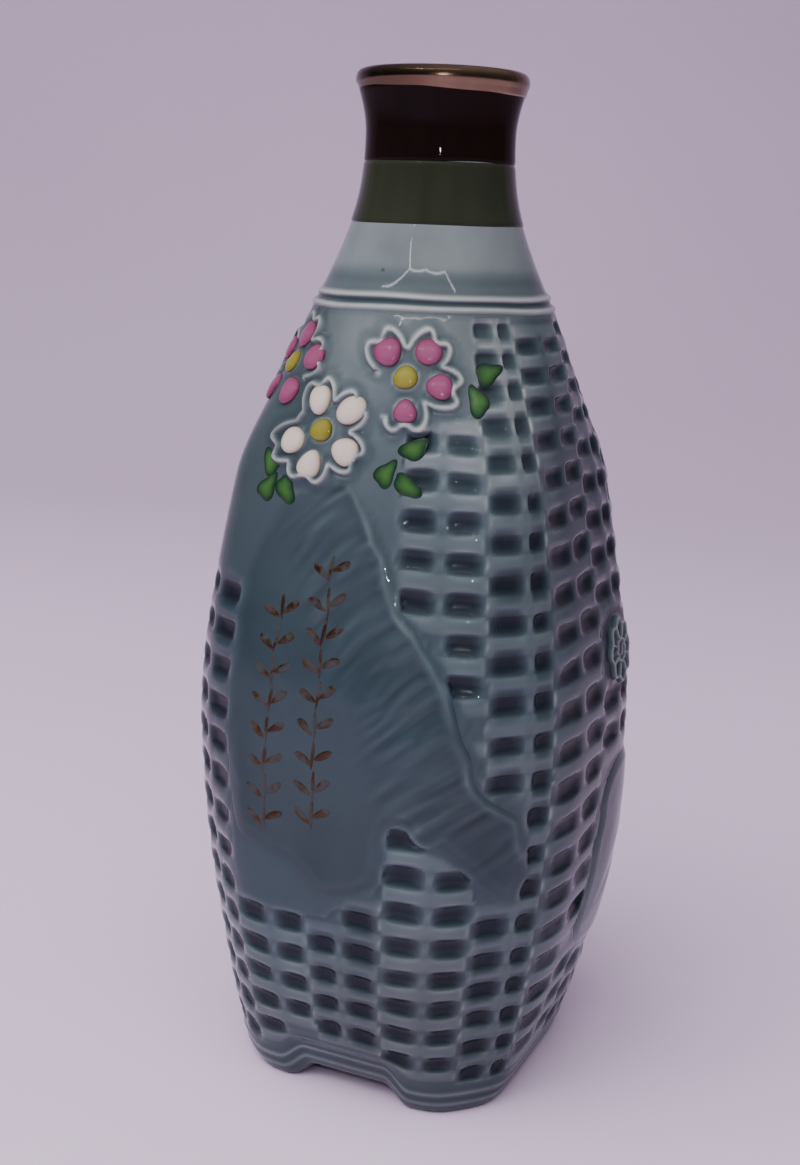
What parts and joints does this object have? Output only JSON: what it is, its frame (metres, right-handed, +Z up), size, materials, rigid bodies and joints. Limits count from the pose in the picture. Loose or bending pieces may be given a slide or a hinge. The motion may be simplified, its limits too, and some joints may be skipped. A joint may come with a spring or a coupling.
{
  "type": "sake bottle",
  "caption": "Square-shouldered porcelain sake bottle with a round glazed neck, moulded basket weave, raised blossoms and a mountain in relief; holds and pours warm or cold sake.",
  "frame": {"origin": "centre of the footprint, on the surface that the bottle stands on", "axes": "+Z up along the bottle's axis through the mouth; the decorated front with the mountain and the blossoms faces -Y; +X is the side with the round rosette"},
  "size_m": [0.0684, 0.069, 0.17],
  "materials": {
    "celadon_body": "glossy grey-blue celadon glaze, darker where it pools",
    "celadon_neck": "glossy pale celadon glaze",
    "celadon_cord": "glossy pale celadon glaze, thin over the ridges",
    "celadon_relief": "glossy blue-grey celadon glaze",
    "celadon_outline": "glossy pale celadon glaze, thin over the ridges",
    "rosette_glaze": "glossy celadon glaze",
    "brown_glaze": "glossy near-black brown glaze",
    "green_glaze": "glossy dark olive-green glaze",
    "lip_gilt": "worn coppery gilding",
    "white_enamel": "glossy raised white enamel",
    "pink_enamel": "glossy raised pink enamel",
    "yellow_enamel": "glossy raised yellow enamel",
    "green_enamel": "glossy raised green enamel",
    "gilt_brushwork": "thin worn gold brushwork"
  },
  "bodies": {
    "root": {"body": "celadon_body", "neck": "celadon_neck", "lip_gilding": "lip_gilt", "brown_glaze_band": "brown_glaze", "green_glaze_band": "green_glaze", "neck_cord_upper": "celadon_cord", "neck_cord_lower": "celadon_cord", "mountain_relief": "celadon_relief", "side_relief": "celadon_relief", "side_rosette": "rosette_glaze", "rosette_boss": "rosette_glaze", "white_blossom_outline": "celadon_outline", "pink_blossom_right_outline": "celadon_outline", "pink_blossom_left_outline": "celadon_outline", "white_blossom_centre": "yellow_enamel", "pink_blossom_right_centre": "yellow_enamel", "pink_blossom_left_centre": "yellow_enamel", "white_petal_1": "white_enamel", "white_petal_2": "white_enamel", "white_petal_3": "white_enamel", "white_petal_4": "white_enamel", "white_petal_5": "white_enamel", "pink_right_petal_1": "pink_enamel", "pink_right_petal_2": "pink_enamel", "pink_right_petal_3": "pink_enamel", "pink_right_petal_4": "pink_enamel", "pink_left_petal_1": "pink_enamel", "pink_left_petal_2": "pink_enamel", "pink_left_petal_3": "pink_enamel", "pink_left_petal_4": "pink_enamel", "pink_left_petal_5": "pink_enamel", "leaf_right_upper": "green_enamel", "leaf_right_lower": "green_enamel", "leaf_middle_1": "green_enamel", "leaf_middle_2": "green_enamel", "leaf_middle_3": "green_enamel", "leaf_left_1": "green_enamel", "leaf_left_2": "green_enamel", "leaf_left_3": "green_enamel", "gilt_sprig_left": "gilt_brushwork", "gilt_sprig_right": "gilt_brushwork"}
  },
  "joints": []
}
